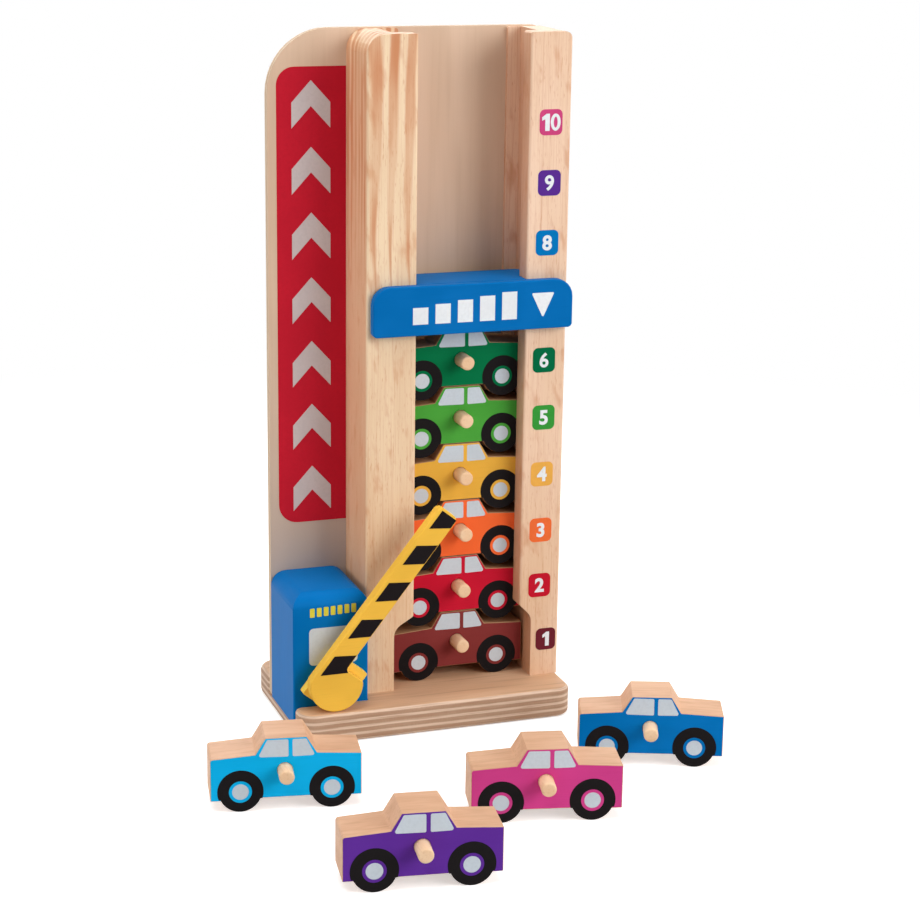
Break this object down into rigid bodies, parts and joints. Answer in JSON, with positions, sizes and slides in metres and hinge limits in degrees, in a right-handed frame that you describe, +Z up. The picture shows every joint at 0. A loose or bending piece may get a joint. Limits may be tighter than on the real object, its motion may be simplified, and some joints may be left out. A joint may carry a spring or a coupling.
{
  "type": "toy parking garage with lift",
  "caption": "Wooden toy parking tower: grooved posts hold nesting peg cars under a level slider, with a ticket booth and swinging barrier on a plywood base.",
  "frame": {"origin": "centre of the base plate's underside, on the surface it stands on", "axes": "+X to the right seen from the front, +Y to the back, +Z up along the posts"},
  "size_m": [0.2889, 0.297, 0.3892],
  "materials": {
    "plywood": "birch plywood, clear satin lacquer, plies showing on the edge",
    "panel_plywood": "thin plywood, clear matt lacquer",
    "pine": "solid pine, clear satin lacquer",
    "booth_blue": "solid wood, satin blue paint",
    "plate_blue": "solid wood, satin blue paint",
    "barrier_yellow": "solid wood, satin yellow paint with black stripes",
    "peg_wood": "turned hardwood dowel",
    "screw_steel": "zinc-plated",
    "car_maroon": "natural wood with a satin painted front face",
    "car_red": "natural wood with a satin painted front face",
    "car_orange": "natural wood with a satin painted front face",
    "car_yellow": "natural wood with a satin painted front face",
    "car_light_green": "natural wood with a satin painted front face",
    "car_green": "natural wood with a satin painted front face",
    "car_light_blue": "natural wood with a satin painted front face",
    "car_blue": "natural wood with a satin painted front face",
    "car_purple": "natural wood with a satin painted front face",
    "car_pink": "natural wood with a satin painted front face"
  },
  "bodies": {
    "garage": {"base_plate": "plywood", "back_panel": "panel_plywood", "left_post": "pine", "right_post": "pine", "ticket_booth": "booth_blue", "left_post_screw_1": "screw_steel", "left_post_screw_2": "screw_steel", "right_post_screw_1": "screw_steel", "right_post_screw_2": "screw_steel", "booth_screw_1": "screw_steel", "booth_screw_2": "screw_steel", "left_panel_screw_1": "screw_steel", "left_panel_screw_2": "screw_steel", "left_panel_screw_3": "screw_steel", "right_panel_screw_1": "screw_steel", "right_panel_screw_2": "screw_steel", "right_panel_screw_3": "screw_steel", "barrier_screw": "screw_steel"},
    "barrier": {"barrier_arm": "barrier_yellow", "barrier_block": "barrier_yellow"},
    "level_slider": {"level_plate": "plate_blue", "level_carriage": "plate_blue", "slider_screw_1": "screw_steel", "slider_screw_2": "screw_steel"},
    "car_01": {"car_01_body": "car_maroon", "car_01_peg": "peg_wood"},
    "car_02": {"car_02_body": "car_red", "car_02_peg": "peg_wood"},
    "car_03": {"car_03_body": "car_orange", "car_03_peg": "peg_wood"},
    "car_04": {"car_04_body": "car_yellow", "car_04_peg": "peg_wood"},
    "car_05": {"car_05_body": "car_light_green", "car_05_peg": "peg_wood"},
    "car_06": {"car_06_body": "car_green", "car_06_peg": "peg_wood"},
    "car_07": {"car_07_body": "car_light_blue", "car_07_peg": "peg_wood"},
    "car_08": {"car_08_body": "car_blue", "car_08_peg": "peg_wood"},
    "car_09": {"car_09_body": "car_purple", "car_09_peg": "peg_wood"},
    "car_10": {"car_10_body": "car_pink", "car_10_peg": "peg_wood"}
  },
  "joints": [
    {"name": "barrier_swing", "type": "hinge", "parent": "garage", "child": "barrier", "pos_m": [-0.05994, -0.0332, 0.0334], "axis": [0, -1, 0], "range_deg": [-51.8, 38.2]},
    {"name": "car_01_roll", "type": "slide", "parent": "garage", "child": "car_01", "axis": [0, -1, 0], "range_m": [0, 0.036]},
    {"name": "car_02_lift", "type": "slide", "parent": "garage", "child": "car_02", "axis": [0, 0, 1], "range_m": [0, 0.012]},
    {"name": "car_03_lift", "type": "slide", "parent": "car_02", "child": "car_03", "axis": [0, 0, 1], "range_m": [0, 0.012]},
    {"name": "car_04_lift", "type": "slide", "parent": "car_03", "child": "car_04", "axis": [0, 0, 1], "range_m": [0, 0.012]},
    {"name": "car_05_lift", "type": "slide", "parent": "car_04", "child": "car_05", "axis": [0, 0, 1], "range_m": [0, 0.012]},
    {"name": "car_06_lift", "type": "slide", "parent": "car_05", "child": "car_06", "axis": [0, 0, 1], "range_m": [0, 0.012]},
    {"name": "level_slide", "type": "slide", "parent": "car_06", "child": "level_slider", "axis": [0, 0, 1], "range_m": [0, 0.1336]},
    {"name": "car_07_lift", "type": "slide", "parent": "garage", "child": "car_07", "axis": [0, 0, 1], "range_m": [0, 0.05]},
    {"name": "car_08_lift", "type": "slide", "parent": "garage", "child": "car_08", "axis": [0, 0, 1], "range_m": [0, 0.05]},
    {"name": "car_09_lift", "type": "slide", "parent": "garage", "child": "car_09", "axis": [0, 0, 1], "range_m": [0, 0.05]},
    {"name": "car_10_lift", "type": "slide", "parent": "garage", "child": "car_10", "axis": [0, 0, 1], "range_m": [0, 0.05]}
  ]
}
